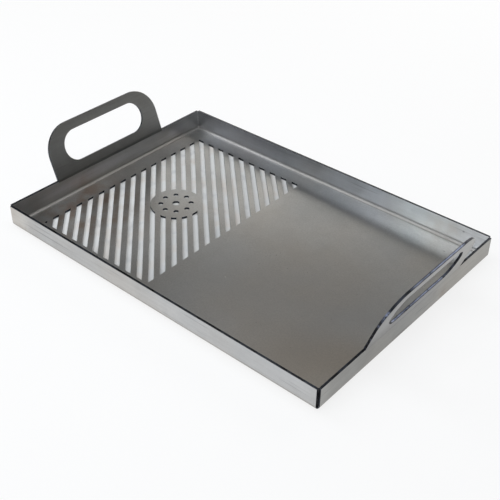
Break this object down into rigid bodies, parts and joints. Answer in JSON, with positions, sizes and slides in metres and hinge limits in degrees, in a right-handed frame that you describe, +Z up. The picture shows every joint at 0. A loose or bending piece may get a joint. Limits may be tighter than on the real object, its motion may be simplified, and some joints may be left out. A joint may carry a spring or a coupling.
{
  "type": "griddle plate",
  "caption": "Shallow folded steel griddle tray with a diagonally slotted grilling end, a plain frying end, a round drain disc and upright leaning end handles with grip slots.",
  "frame": {"origin": "middle of the flat underside, on the surface that the plate stands on", "axes": "+X along the tray towards the plain frying end, +Y towards the rear long wall, +Z up"},
  "size_m": [0.4413, 0.285, 0.0786],
  "materials": {
    "rolled_steel": "bare rolled mild steel, satin, laser-cut edges dark"
  },
  "bodies": {
    "root": {"floor_plate": "rolled_steel", "front_wall": "rolled_steel", "rear_wall": "rolled_steel", "left_wall": "rolled_steel", "right_wall": "rolled_steel", "left_handle": "rolled_steel", "right_handle": "rolled_steel"}
  },
  "joints": []
}
